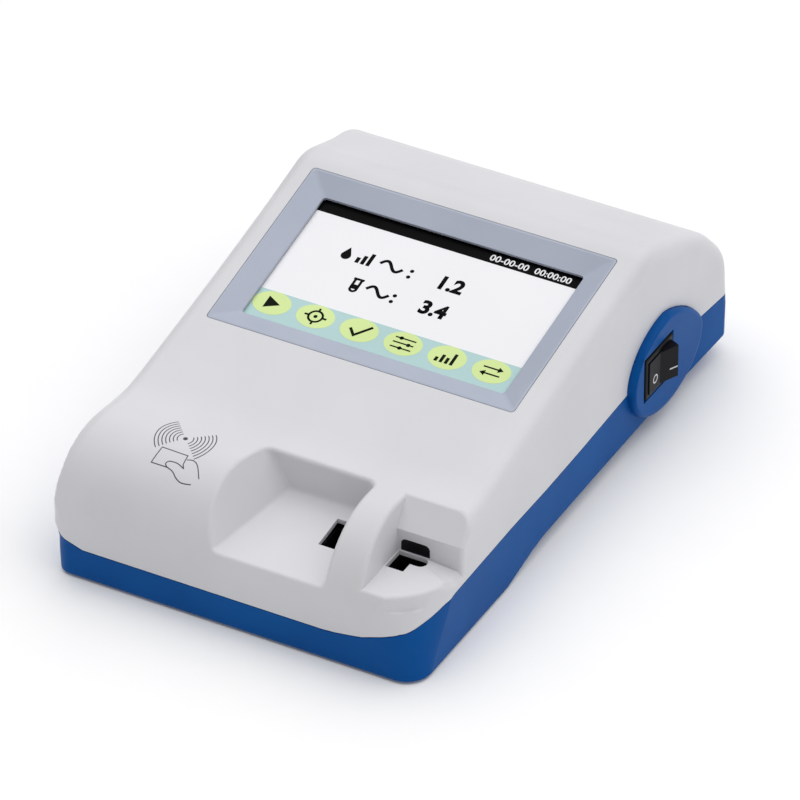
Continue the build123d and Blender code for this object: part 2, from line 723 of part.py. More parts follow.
def supply_capacitors():
    cans = []
    for x, y, diameter, height in ((-14, 30, 18, 26), (10, 34, 12, 20), (16, -40, 10, 16)):
        foot = (SUPPLY_CENTRE[0] + x, SUPPLY_CENTRE[1] + y)
        cans.append(post(*foot, board_top(), board_top() + height, diameter))
    return Compound(cans)


# Rear connectors

def rear_connector(size, x, depth, proud):
    """A snap-in connector: a flange on the rear wall and a body through it."""
    flange = on_plane(rear_panel, size[0], size[1], -proud, 0, -x)
    body_size = [side - CONNECTOR_LIP - 2 * CLEARANCE for side in size]
    return flange + on_plane(rear_panel, *body_size, 0, depth, -x)


def power_inlet():
    inlet = rear_connector(INLET, INLET_X, INLET_DEPTH, INLET_PROUD)
    mouth = [side - 2 * INLET_RIM for side in INLET]
    return inlet - on_plane(rear_panel, *mouth, -2 * INLET_PROUD, INLET_CAVITY, -INLET_X)


def inlet_pins():
    pins = []
    for x, y in PIN_PLACES:
        pins.append(on_plane(rear_panel, *PIN, PIN_SETBACK, INLET_CAVITY, -INLET_X + x, y))
    return Compound(pins)


def serial_port():
    port = rear_connector(SERIAL, SERIAL_X, SERIAL_DEPTH, CONNECTOR_PROUD)
    shell = on_plane(rear_panel, *SERIAL_SHELL, -SERIAL_REACH, 0, -SERIAL_X)
    mouth = [side - 2 * SHEET for side in SERIAL_SHELL]
    return port + (shell - on_plane(rear_panel, *mouth, -2 * SERIAL_REACH, -CONNECTOR_PROUD, -SERIAL_X))


def usb_port():
    port = rear_connector(USB, USB_X, USB_DEPTH, CONNECTOR_PROUD)
    return port - on_plane(rear_panel, *USB_MOUTH, -2 * CONNECTOR_PROUD, USB_DEPTH - 2 * SHEET, -USB_X)


# Optics under the wells

def optics_base():
    x, y = OPTICS_CENTRE
    plate = Pos(x, y, inner_floor_front + OPTICS_BASE[2] / 2) * Box(*OPTICS_BASE)
    return plate - guide_footprint(CLEARANCE)


def guide_footprint(grow):
    slot_x, slot_y = slot_centre()
    wall = 2 * (GUIDE_WALL + grow)
    depth = OPTICS_BASE[2]
    foot = inner_floor_front + 2.0
    socket = Pos(slot_x, slot_y, foot + depth / 2) * Box(SLOT_WIDTH + wall, SLOT_LENGTH + wall, depth)
    return socket + extrude(Pos(0, 0, foot) * port_outline(GUIDE_WALL + grow), amount=depth)


def cartridge_guide():
    """Black chute under the slot of the left well, crossed by the light beam."""
    x, y = slot_centre()
    top = well_floor(SLOT_FRONT_Y - GUIDE_WALL) - WALL - 2 * CLEARANCE
    foot = inner_floor_front + 2.0
    chute = slab(
        (x - SLOT_WIDTH / 2 - GUIDE_WALL, x + SLOT_WIDTH / 2 + GUIDE_WALL),
        (y - SLOT_LENGTH / 2 - GUIDE_WALL, y + SLOT_LENGTH / 2 + GUIDE_WALL),
        (foot, top),
    )
    chute -= slab(
        (x - SLOT_WIDTH / 2, x + SLOT_WIDTH / 2),
        (y - SLOT_LENGTH / 2, y + SLOT_LENGTH / 2),
        (foot + GUIDE_WALL, top + 1.0),
    )
    beam = Rot(0, 90, 0) * Cylinder(LAMP_DIAMETER / 2 + CLEARANCE, SLOT_WIDTH + 4 * GUIDE_WALL)
    return chute - Pos(x, y, BEAM_HEIGHT) * beam


def port_guide():
    """Black socket under the sample port."""
    foot = inner_floor_front + 2.0
    top = RECESS_FLOOR - WALL
    outer = extrude(Pos(0, 0, foot) * port_outline(GUIDE_WALL), amount=top - foot)
    return outer - extrude(Pos(0, 0, foot + GUIDE_WALL) * port_outline(), amount=top)


def beam_piece(side, near, far, diameter):
    """A round piece on the beam, beside the cartridge guide."""
    x, y = slot_centre()
    wall_x = x + side * (SLOT_WIDTH / 2 + GUIDE_WALL)
    length = far - near
    middle = wall_x + side * (near + far) / 2
    return Pos(middle, y, BEAM_HEIGHT) * Rot(0, 90, 0) * Cylinder(diameter / 2, length)


def lamp_holder():
    return beam_piece(-1, 0, 8.0, LAMP_DIAMETER + 5.0) - beam_piece(-1, -1.0, 9.0, LAMP_DIAMETER)


def lamp():
    return beam_piece(-1, 1.0, 9.0, LAMP_DIAMETER)


def detector_holder():
    return beam_piece(1, 0, 8.0, LAMP_DIAMETER + 5.0) - beam_piece(1, -1.0, 9.0, LAMP_DIAMETER)


def optical_filter():
    return beam_piece(1, 0, 1.6, LAMP_DIAMETER)


def photodiode():
    return beam_piece(1, 1.6, 9.0, LAMP_DIAMETER)


def heater_plate():
    x, y = slot_centre()
    rear = y + SLOT_LENGTH / 2 + GUIDE_WALL
    foot = inner_floor_front + OPTICS_BASE[2]
    plate = slab((x - HEATER[0] / 2, x + HEATER[0] / 2), (rear, rear + HEATER[1]), (foot, foot + HEATER[2]))
    return plate


def antenna_height():
    return SADDLE_HEIGHT - WALL - ANTENNA_DROP


def card_antenna():
    x, y = ANTENNA_CENTRE
    return Pos(x, y, antenna_height() + BOARD_THICKNESS / 2) * Box(*ANTENNA_BOARD, BOARD_THICKNESS)


# Fasteners and feet

def housing_screws():
    screws = []
    for x, y, z in boss_sites():
        head_z = z - WALL
        shank = post(x, y, head_z, z + BOSS_RISE + SCREW_REACH, SCREW_DIAMETER - CLEARANCE)
        screws.append(shank + post(x, y, head_z, head_z + SCREW_HEAD_HEIGHT, SCREW_HEAD_DIAMETER - CLEARANCE))
    return Compound(screws)


def rubber_feet():
    pads = []
    for x, y in foot_sites():
        pad = post(x, y, -FOOT_HEIGHT, FOOT_SOCKET, FOOT_DIAMETER - CLEARANCE)
        low = [edge for edge in pad.edges() if edge.center().Z < 0]
        pads.append(fillet(low, 0.6))
    return Compound(pads)


def build_all():
    body = housing_body()
    hollow = housing_body(WALL)
    return {
        "upper_housing": upper_housing(body, hollow),
        "lower_housing": lower_housing(body, hollow),
        "display_bezel": display_bezel(),
        "screen_gasket": screen_gasket(),
        "touch_panel": touch_panel(),
        "lcd_module": lcd_module(),
        "lcd_bracket": lcd_bracket(),
        "display_screws": display_screws(),
        "driver_board": driver_board(),
        "switch_frame": switch_frame(),
        "switch_rocker": switch_rocker(),
        "switch_terminals": switch_terminals(),
        "main_board": board(MAIN_BOARD, MAIN_BOARD_CENTRE),
        "supply_board": board(SUPPLY_BOARD, SUPPLY_CENTRE),
        "board_screws": board_screws(),
        "board_connectors": board_connectors(),
        "processor": processor(),
        "buzzer": buzzer(),
        "supply_transformer": supply_transformer(),
        "supply_capacitors": supply_capacitors(),
        "power_inlet": power_inlet(),
        "inlet_pins": inlet_pins(),
        "serial_port": serial_port(),
        "usb_port": usb_port(),
        "optics_base": optics_base(),
        "cartridge_guide": cartridge_guide(),
        "port_guide": port_guide(),
        "lamp_holder": lamp_holder(),
        "lamp": lamp(),
        "detector_holder": detector_holder(),
        "optical_filter": optical_filter(),
        "photodiode": photodiode(),
        "heater_plate": heater_plate(),
        "card_antenna": card_antenna(),
        "housing_screws": housing_screws(),
        "rubber_feet": rubber_feet(),
    }


def main():
    os.makedirs("parts", exist_ok=True)
    pieces = build_all()
    box = Compound(list(pieces.values())).bounding_box()
    middle = box.center()
    shift = Pos(-middle.X, -middle.Y, -box.min.Z)
    for name, piece in pieces.items():
        export_step(shift * piece, f"parts/{name}.step")
    pivot = shift * Vertex(pivot_x, SWITCH_Y, pod_z)
    print("overall size", [round(v, 3) for v in box.size])
    print("shift", round(-middle.X, 4), round(-middle.Y, 4), round(-box.min.Z, 4))
    print("rocker pivot", [round(v, 4) for v in pivot.center()])


main()
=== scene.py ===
import json
from math import cos, pi, radians, sin

import bmesh
import bpy
from mathutils import Matrix, Vector
from mathutils.bvhtree import BVHTree


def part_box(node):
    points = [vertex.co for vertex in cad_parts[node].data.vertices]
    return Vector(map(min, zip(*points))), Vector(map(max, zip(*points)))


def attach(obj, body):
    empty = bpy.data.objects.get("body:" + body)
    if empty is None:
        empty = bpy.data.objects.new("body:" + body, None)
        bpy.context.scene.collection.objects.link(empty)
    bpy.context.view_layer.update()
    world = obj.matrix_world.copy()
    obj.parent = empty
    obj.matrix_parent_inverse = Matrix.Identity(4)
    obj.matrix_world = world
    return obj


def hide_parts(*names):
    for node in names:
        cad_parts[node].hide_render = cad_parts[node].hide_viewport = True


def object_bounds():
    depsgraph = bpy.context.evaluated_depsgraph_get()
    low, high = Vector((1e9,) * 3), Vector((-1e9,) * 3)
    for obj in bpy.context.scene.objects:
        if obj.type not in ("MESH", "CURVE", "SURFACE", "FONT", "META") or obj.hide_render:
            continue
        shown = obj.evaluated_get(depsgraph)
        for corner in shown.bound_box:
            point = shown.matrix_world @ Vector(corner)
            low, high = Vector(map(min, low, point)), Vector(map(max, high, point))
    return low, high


# The looks of a bench-top blood analyser around its fixed frame. Blender's unit is the metre,
# and MM turns a real size in millimetres into it.
MM = 0.001
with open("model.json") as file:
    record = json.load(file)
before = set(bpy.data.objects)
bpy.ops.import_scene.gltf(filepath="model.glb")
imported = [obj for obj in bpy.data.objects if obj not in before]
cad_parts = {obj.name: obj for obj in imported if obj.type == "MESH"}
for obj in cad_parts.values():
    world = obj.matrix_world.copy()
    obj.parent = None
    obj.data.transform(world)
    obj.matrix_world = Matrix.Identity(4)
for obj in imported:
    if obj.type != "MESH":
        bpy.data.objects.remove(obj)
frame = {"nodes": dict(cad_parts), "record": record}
cad_box = [list(corner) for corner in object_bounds()]
nodes = frame["nodes"]

# Viewing angle of the picture, and the camera's place from the housing's front lower edge
CAMERA_TURN = radians(28.5)
CAMERA_RISE = radians(35.5)
CAMERA_LENS = 382.5
SENSOR_WIDTH = 36.0
CAMERA_PLACE = Vector((1769.7, -3078.4, 2678.2)) * MM

# Display
SCREEN_TILT = radians(12)
GLASS_MARGIN = 5.0

# Thickness of the drawn pieces, and the shares of it that they stand off the glass or sink in elsewhere
SHEET = 0.06
LAYER_GAP = 0.2
SUNK = 0.2

# Layout origin: the centre line, the front face and the lower edge of the housing
bezel_low, bezel_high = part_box("display_bezel")
housing_low, housing_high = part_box("lower_housing")
origin = Vector(((bezel_low.x + bezel_high.x) / 2, housing_low.y, housing_low.z))


# Distances, in metres, from which rays are sent down or sideways at the object
ABOVE_HOUSING = 0.2
BESIDE_HOUSING = 0.1


def new_object(name, data):
    """A new object in the scene."""
    piece = bpy.data.objects.new(name, data)
    bpy.context.scene.collection.objects.link(piece)
    return piece


def skin(piece):
    """The faces of a piece, to find the spot where a ray meets them."""
    return BVHTree.FromObject(piece, bpy.context.evaluated_depsgraph_get())


# Colours

def srgb(red, green, blue):
    """A display colour from 0 to 255 as linear light."""
    return tuple((value / 255) ** 2.2 for value in (red, green, blue)) + (1.0,)


WHITE_PLASTIC = srgb(217, 217, 221)
WHITE_SHADE = srgb(213, 213, 217)
BLUE_PLASTIC = srgb(12, 84, 154)
BLUE_SHADE = srgb(10, 78, 146)
BEZEL_GREY = srgb(176, 182, 198)
BEZEL_SHADE = srgb(169, 176, 192)
BLACK_PLASTIC = srgb(20, 20, 24)
BLACK_SHADE = srgb(15, 15, 18)
ROCKER_BLACK = srgb(13, 14, 20)
RUBBER = srgb(40, 40, 42)
RUBBER_SHADE = srgb(31, 31, 33)
DARK_GLASS = srgb(26, 28, 32)
DARK_GLASS_SHADE = srgb(20, 22, 26)
STEEL = srgb(196, 198, 201)
STEEL_SHADE = srgb(180, 182, 186)
ZINC = srgb(205, 205, 208)
ZINC_SHADE = srgb(188, 188, 190)
TINNED_BRASS = srgb(214, 196, 148)
TINNED_BRASS_SHADE = srgb(200, 180, 130)
SOLDER_MASK = srgb(30, 110, 62)
SOLDER_MASK_SHADE = srgb(22, 92, 50)
VARNISH = srgb(120, 104, 66)
VARNISH_SHADE = srgb(98, 84, 52)
SLEEVE_BLUE = srgb(34, 44, 78)
SLEEVE_SHADE = srgb(28, 36, 66)
CAST_METAL = srgb(190, 191, 194)
CAST_SHADE = srgb(174, 176, 180)
CLEAR_RESIN = srgb(230, 232, 236)
CLEAR_SHADE = srgb(220, 223, 228)
SCREEN_WHITE = srgb(240, 240, 243)
SCREEN_WHITE_SHADE = srgb(238, 238, 241)
SCREEN_BAR = srgb(3, 4, 6)
SCREEN_BAND = srgb(178, 208, 207)
SCREEN_BAND_SHADE = srgb(174, 204, 203)
SCREEN_BUTTON = srgb(212, 231, 160)
SCREEN_BUTTON_SHADE = srgb(207, 226, 155)
SCREEN_INK = srgb(8, 8, 9)
BUTTON_INK = srgb(20, 28, 16)
PRINT_GREY = srgb(84, 84, 90)
MARK_WHITE = srgb(222, 222, 222)
FLOOR_WHITE = srgb(250, 250, 250)
FLOOR_SHADE = srgb(249, 249, 250)
PURE_WHITE = (1.0, 1.0, 1.0, 1.0)


# Materials

class Finish:
    """A procedural material: two close tints, uneven gloss, a fine moulded grain and soft edges."""

    def __init__(self, name, color, shade, roughness=0.45):
        self.material = bpy.data.materials.new(name)
        self.material.use_nodes = True
        self.tree = self.material.node_tree
        self.shader = self.tree.nodes["Principled BSDF"]
        self.place = self.tree.nodes.new("ShaderNodeTexCoord").outputs["Object"]
        self.tint(color, shade)
        self.gloss(roughness)

    def link(self, output, target):
        self.tree.links.new(output, target)

    def noise(self, feature, detail=4.0):
        """Noise whose features are about this many millimetres wide."""
        node = self.tree.nodes.new("ShaderNodeTexNoise")
        node.inputs["Scale"].default_value = 1 / (feature * MM)
        node.inputs["Detail"].default_value = detail
        self.link(self.place, node.inputs["Vector"])
        return node.outputs["Fac"]

    def ramp(self, factor, low, high, start=0.35, stop=0.65):
        node = self.tree.nodes.new("ShaderNodeValToRGB")
        node.color_ramp.elements[0].position = start
        node.color_ramp.elements[0].color = low
        node.color_ramp.elements[1].position = stop
        node.color_ramp.elements[1].color = high
        self.link(factor, node.inputs["Fac"])
        return node.outputs["Color"]

    def spread(self, factor, low, high):
        node = self.tree.nodes.new("ShaderNodeMapRange")
        node.inputs["To Min"].default_value = low
        node.inputs["To Max"].default_value = high
        self.link(factor, node.inputs["Value"])
        return node.outputs["Result"]

    def tint(self, color, shade, feature=55.0):
        self.link(self.ramp(self.noise(feature), shade, color), self.shader.inputs["Base Color"])

    def gloss(self, roughness, swing=0.05, feature=18.0):
        uneven = self.spread(self.noise(feature), roughness - swing, roughness + swing)
        self.link(uneven, self.shader.inputs["Roughness"])

    def grain(self, feature, depth, edge=0.5):
        """A moulded surface grain over edges softened by this many millimetres."""
        bump = self.tree.nodes.new("ShaderNodeBump")
        bump.inputs["Strength"].default_value = 1.0
        bump.inputs["Distance"].default_value = depth * MM
        self.link(self.noise(feature, 2.0), bump.inputs["Height"])
        if edge:
            bevel = self.tree.nodes.new("ShaderNodeBevel")
            bevel.samples = 6
            bevel.inputs["Radius"].default_value = edge * MM
            self.link(bevel.outputs["Normal"], bump.inputs["Normal"])
        self.link(bump.outputs["Normal"], self.shader.inputs["Normal"])
        return self

    def set(self, **values):
        for name, value in values.items():
            self.shader.inputs[name.replace("_", " ")].default_value = value
        return self


def white_shell():
    finish = Finish("white_shell_finish", WHITE_PLASTIC, WHITE_SHADE, 0.46)
    return finish.grain(0.5, 0.012).set(Specular_IOR_Level=0.4)


def blue_shell():
    finish = Finish("blue_shell_finish", BLUE_PLASTIC, BLUE_SHADE, 0.42)
    return finish.grain(0.5, 0.010).set(Specular_IOR_Level=0.08)


def grey_bezel():
    finish = Finish("grey_bezel_finish", BEZEL_GREY, BEZEL_SHADE, 0.40)
    return finish.grain(0.35, 0.008, 0.4).set(Specular_IOR_Level=0.3)


def screen_glass():
    finish = Finish("screen_glass_finish", DARK_GLASS, DARK_GLASS_SHADE, 0.12)
    return finish.grain(6.0, 0.002, 0.0).set(Coat_Weight=0.6, Coat_Roughness=0.05)


def plain(name, color, shade, roughness, grain=(0.5, 0.01), **values):
    """Returns a maker of a simple finish with its own grain."""
    def make():
        return Finish(name, color, shade, roughness).grain(*grain).set(**values)
    return make


RUBBER_GRAIN = (0.7, 0.03)
METAL_GRAIN = (0.8, 0.004)
CAST_GRAIN = (1.2, 0.02)
finish_makers = {
    "white_shell": white_shell,
    "blue_shell": blue_shell,
    "grey_bezel": grey_bezel,
    "screen_glass": screen_glass,
    "dark_module": plain("dark_module_finish", BLACK_PLASTIC, BLACK_SHADE, 0.5),
    "black_plastic": plain("black_plastic_finish", BLACK_PLASTIC, BLACK_SHADE, 0.48, Specular_IOR_Level=0.25),
    "black_rocker": plain("black_rocker_finish", ROCKER_BLACK, BLACK_SHADE, 0.42, Specular_IOR_Level=0.15),
    "soft_rubber": plain("soft_rubber_finish", RUBBER, RUBBER_SHADE, 0.82, RUBBER_GRAIN),
    "steel_plate": plain("steel_plate_finish", STEEL, STEEL_SHADE, 0.34, METAL_GRAIN, Metallic=1.0),
    "bright_screws": plain("bright_screws_finish", ZINC, ZINC_SHADE, 0.26, METAL_GRAIN, Metallic=1.0),
    "contact_metal": plain(
        "contact_metal_finish", TINNED_BRASS, TINNED_BRASS_SHADE, 0.3, METAL_GRAIN, Metallic=1.0),
    "circuit_board": plain("circuit_board_finish", SOLDER_MASK, SOLDER_MASK_SHADE, 0.4),
    "chip_resin": plain("chip_resin_finish", BLACK_PLASTIC, BLACK_SHADE, 0.6),
    "transformer_iron": plain(
        "transformer_iron_finish", VARNISH, VARNISH_SHADE, 0.55, METAL_GRAIN, Metallic=0.4),
    "capacitor_sleeve": plain("capacitor_sleeve_finish", SLEEVE_BLUE, SLEEVE_SHADE, 0.3),
    "cast_base": plain("cast_base_finish", CAST_METAL, CAST_SHADE, 0.5, CAST_GRAIN, Metallic=0.9),
    "clear_lamp": plain(
        "clear_lamp_finish", CLEAR_RESIN, CLEAR_SHADE, 0.1, METAL_GRAIN, Transmission_Weight=0.7),
}
finishes = {slot: make().material for slot, make in finish_makers.items()}


# Shell forms: both housings with the parting line and the pod where the real ones have them. Places are
# millimetres from the layout origin, and a pair is the range over which a change comes or goes.

# Outside walls, which move, and the wells and inner walls behind them, which don't
WALL_SIDE = 102.0
WALL_SIDE_STEP = 4.0
WALL_SIDE_STEP_UP = (42, 45)
WALL_SIDE_FADE = 3.0
FRONT_ZONE = 20
FRONT_WALL = (2.8, 7.0)
FRONT_WALL_TOP = (34, 39)
CORNER_SIDE = 92
CORNER_WALL = (17.0, 18.5)
WELLS_END = 66
SIDE_WALL = (98, 103)
REAR_WALL = (345, 349)

# How far the parting line rises, by the distance along the outline past the front corner. Both sides
# share the rows behind the corner, and the lift fades out higher up on the sides than on the front.
CORNER_X = 112
RIGHT_RISE = [
    (-56, 0), (-43, 1.9), (-35, 3.3), (-28, 6.2), (-20, 8.0), (-12, 8.5), (-4, 7.0), (6, 5.0),
    (17, 1.3), (30, -3.9), (44, -5.0), (98, -5.3), (125, -6.8), (200, -6.0), (221, -5.4), (320, -2.7),
    (335, -2.4),
]
SIDE_ROWS = RIGHT_RISE[8:]
LEFT_RISE = [(-18, 0), (-12, 3.0), (-4, 5.0), (6, 4.5)] + SIDE_ROWS
ROUND_CORNER = (-8, 14)
LIFT_FOOT = (4, 14)
FRONT_LIFT_TOP = (24, 50)
HIGHER_ON_SIDE = (18, 12)

# Pod on the right side. Here a pair is along the side and up. The switch's pocket stays where it is.
POD_PLACE = (272.0, 41.0)
POD_HALF = (44.0, 28.0)
POD_MOVE = (6.0, -4.0)
POD_GROWTH = (-3.0, 1.5)
POD_BACK = (-2.5, -3.5)
POD_FADE = 0.6
POD_INSIDE = 0.999
POCKET_LOW = (244.5, 25.5)
POCKET_HIGH = (283.0, 56.5)
TINY = 1e-6

# Left well's left rim, which turns: to the left at the front and to the right at the rear
RIM_FRONT = 8.0
RIM_BACK = 5.0
RIM_START = 6
RIM_LENGTH = 54
RIM_LEFT = (-48, -28)
RIM_RIGHT = (-2, 14)
RIM_UP = (34, 44)

# How much further out the front left corner and the rear corners stand, within the solids' box
FRONT_GAIN = 2.6
FRONT_GAIN_OUT = (95, 103)
FRONT_GAIN_BACK = (40, 90)
FRONT_GAIN_FOOT = (14, 24)
FRONT_GAIN_TOP = (60, 76)
REAR_GAIN = 2.8
REAR_GAIN_OUT = (85, 100)
REAR_GAIN_BACK = (318, 348)
TOP_GAIN = 3.5
TOP_GAIN_OUT = (62, 96)
TOP_GAIN_BACK = (292, 335)
TOP_GAIN_UP = (66, 92)
BOX_MARGIN = 0.02
LEFT_LIMIT = (cad_box[0][0] - origin.x) / MM + BOX_MARGIN

# Long edges on the front wall get a point about every step
FRONT_STEP = 8.0
FRONT_DEPTH = 6.0
FRONT_HEIGHT = 48.0
MOST_CUTS = 30

# Where a new face lies on an old one: how alike their normals are, how near it is, and no area at all
SAME_WAY = 0.9
SAME_SPOT = 0.05
NO_AREA = 1e-24


def rise(value, start, stop):
    """0 before start, 1 past stop, and a soft rise between."""
    t = min(1.0, max(0.0, (value - start) / (stop - start)))
    return t * t * (3 - 2 * t)


def from_table(table, place):
    """The value at a place between a table's rows, on straight lines between them."""
    if place <= table[0][0]:
        return table[0][1]
    for (start, low), (stop, high) in zip(table, table[1:]):
        if place <= stop:
            return low + (high - low) * (place - start) / (stop - start)
    return table[-1][1]


def outside_share(side, y, z):
    """1 on the outside walls, 0 on the wells and the inner walls behind them, and soft between."""
    edge = WALL_SIDE + WALL_SIDE_STEP * rise(z, *WALL_SIDE_STEP_UP)
    on_side = rise(side, edge, edge + WALL_SIDE_FADE)
    if y < FRONT_ZONE:
        corner = (max(0, side - CORNER_SIDE) ** 2 + (FRONT_ZONE - y) ** 2) ** 0.5
        on_front = max(1 - rise(y, *FRONT_WALL), 1 - rise(z, *FRONT_WALL_TOP), rise(corner, *CORNER_WALL))
        return max(on_side, on_front)
    if y > WELLS_END:
        return max(rise(side, *SIDE_WALL), rise(y, *REAR_WALL))
    return on_side


def seam_lift(x, y, z):
    """How far a point rises with the parting line."""
    side = abs(x)
    past_corner = y - (CORNER_X - side)
    turned = rise(past_corner, *ROUND_CORNER)
    top = [place + higher * turned for place, higher in zip(FRONT_LIFT_TOP, HIGHER_ON_SIDE)]
    level = rise(z, *LIFT_FOOT) * (1 - rise(z, *top))
    table = RIGHT_RISE if x > 0 else LEFT_RISE
    return from_table(table, past_corner) * level * outside_share(side, y, z)


def from_pod(y, z):
    """A place on the right side, from the pod's middle, in shares of its half sizes."""
    return (y - POD_PLACE[0]) / POD_HALF[0], (z - POD_PLACE[1]) / POD_HALF[1]


def pocket_edge(along):
    """Where a line from the pod's middle leaves the switch's pocket, as a share of the way to the outline."""
    edge = 1.0
    for axis in (0, 1):
        way = along[axis] * POD_HALF[axis]
        side = POCKET_HIGH[axis] if way > 0 else POCKET_LOW[axis]
        if abs(way) > TINY:
            edge = min(edge, (side - POD_PLACE[axis]) / way)
    return edge


def pod_pull(y, z):
    """The share that the pod's outline carries a point with it, and how far the outline itself moves."""
    across, upward = from_pod(y, z)
    reach = (across ** 2 + upward ** 2) ** 0.5
    if reach < TINY:
        return 0.0, 0.0, 0.0
    along = (across / reach, upward / reach)
    if reach >= 1:
        share = 1 - rise(reach, 1.0, 1.0 + POD_FADE)
    else:
        edge = pocket_edge(along)
        share = max(0.0, (reach - edge) / (1 - edge)) if edge < 1 else 0.0
    back = max(0, along[0]) * max(0, along[1]) * 2
    moves = [POD_MOVE[axis] + POD_GROWTH[axis] * along[axis] + POD_BACK[axis] * back for axis in (0, 1)]
    return share, *moves


def rim_shift(x, y, z):
    """How far a point moves to the right with the left well's left rim."""
    if not (RIM_LEFT[0] < x < RIM_RIGHT[1] and y < WELLS_END and z > RIM_UP[0]):
        return 0.0
    back = min(1.0, max(0.0, (y - RIM_START) / RIM_LENGTH))
    turn = RIM_BACK * back - RIM_FRONT * (1 - back)
    return turn * rise(x, *RIM_LEFT) * (1 - rise(x, *RIM_RIGHT)) * rise(z, *RIM_UP)


def front_gain(side, y, z):
    """How much further out a point at the front left corner stands."""
    low_part = rise(z, *FRONT_GAIN_FOOT) * (1 - rise(z, *FRONT_GAIN_TOP))
    return FRONT_GAIN * rise(side, *FRONT_GAIN_OUT) * (1 - rise(y, *FRONT_GAIN_BACK)) * low_part


def rear_gain(side, y, z):
    """How much further out a point at a rear corner stands, and more so near the top."""
    whole = REAR_GAIN * rise(side, *REAR_GAIN_OUT) * rise(y, *REAR_GAIN_BACK)
    return whole + TOP_GAIN * rise(side, *TOP_GAIN_OUT) * rise(y, *TOP_GAIN_BACK) * rise(z, *TOP_GAIN_UP)


def reshaped(x, y, z):
    """The real shell's place for a point of the plain one, in millimetres from the layout origin."""
    side = abs(x)
    share, pod_along, pod_up = 0.0, 0.0, 0.0
    lift = seam_lift(x, y, z)
    if x > SIDE_WALL[0]:
        share, pod_along, pod_up = pod_pull(y, z)
        share *= rise(side, *SIDE_WALL)
        across, upward = from_pod(y, z)
        if across ** 2 + upward ** 2 < POD_INSIDE:
            lift = 0.0
    shift = rim_shift(x, y, z)
    if x < 0:
        shift -= front_gain(side, y, z)
    shift += rear_gain(side, y, z) * (1 if x > 0 else -1)
    shift = max(shift, min(0.0, LEFT_LIMIT - x))
    return x + shift, y + share * pod_along, z + share * pod_up + (1 - share) * lift


def front_edges(work):
    """Long edges on the front wall, in groups by how many cuts they get."""
    groups = {}
    for edge in work.edges:
        places = [(vertex.co - origin) / MM for vertex in edge.verts]
        cuts = int((places[0] - places[1]).length / FRONT_STEP)
        if cuts and all(place.y < FRONT_DEPTH and place.z < FRONT_HEIGHT for place in places):
            groups.setdefault(min(cuts, MOST_CUTS), []).append(edge)
    return groups


def refined(source):
    """A copy of a mesh with more points on the front wall, and the normals of the one it came from."""
    mesh = source.data.copy()
    normals = [corner.vector.copy() for corner in mesh.corner_normals]
    points = [vertex.co.copy() for vertex in mesh.vertices]
    faces = [tuple(face.vertices) for face in mesh.polygons]
    starts = [face.loop_start for face in mesh.polygons]
    tree = BVHTree.FromPolygons(points, faces)
    work = bmesh.new()
    work.from_mesh(mesh)
    for cuts, edges in sorted(front_edges(work).items()):
        bmesh.ops.subdivide_edges(work, edges=[edge for edge in edges if edge.is_valid], cuts=cuts)
    bmesh.ops.triangulate(work, faces=work.faces)
    work.to_mesh(mesh)
    work.free()
    kept = []
    for face in mesh.polygons:
        middle = face.center
        spot, normal, index, distance = tree.find_nearest(middle)
        if normal.dot(face.normal) < SAME_WAY:
            near = tree.find_nearest_range(middle, SAME_SPOT * MM)
            index = max(near, key=lambda row: row[1].dot(face.normal))[2] if near else index
        corners = [points[vertex] for vertex in faces[index]]
        own = [normals[starts[index] + step] for step in range(3)]
        for vertex in face.vertices:
            kept.append(blended(mesh.vertices[vertex].co, corners, own))
    mesh.normals_split_custom_set(kept)
    return mesh


def blended(place, corners, normals):
    """The normal at a place on a triangle, from the normals at its corners."""
    a, b, c = corners
    across = (b - a).cross(c - a)
    area = across.length_squared
    if area < NO_AREA:
        return normals[0]
    first = min(1.0, max(0.0, (c - b).cross(place - b).dot(across) / area))
    second = min(1.0, max(0.0, (a - c).cross(place - c).dot(across) / area))
    third = max(0.0, 1 - first - second)
    return (normals[0] * first + normals[1] * second + normals[2] * third).normalized()


def reshape_shells():
    """Both shells in their real forms, by name. Each stands for the housing it was made from."""
    shells = {}
    for name, source in (("upper_shell", "upper_housing"), ("lower_shell", "lower_housing")):
        mesh = refined(nodes[source])
        mesh.name = name
        for vertex in mesh.vertices:
            place = (vertex.co - origin) / MM
            vertex.co = origin + Vector(reshaped(*place)) * MM
        piece = new_object(name, mesh)
        material = nodes[source].material_slots[0].material
        mesh.materials.clear()
        mesh.materials.append(material)
        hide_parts(source)
        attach(piece, "root")
        shells[name] = piece
    return shells


def dress_nodes():
    """Every sub-part in the finish of its slot."""
    for part in frame["record"]["subparts"]:
        node = nodes[part["node"]]
        finish = finishes[part["material_slot"]]
        for place in node.material_slots:
            place.material = finish


def picture_finish(name, color, shade, glow=0.0):
    """Lit picture or printed ink: hardly uneven, and with little gloss of its own."""
    finish = Finish(name, color, shade, 0.4)
    finish.grain(0.3, 0.0005, 0.0)
    finish.set(Specular_IOR_Level=0.04, Emission_Color=color, Emission_Strength=glow)
    return finish.material


# Flat pieces. The font's size is a little more than the height of its digits.

DIGIT_SIZE = 1.42
MITRE_LIMIT = 0.5
SAME_POINT = 0.001


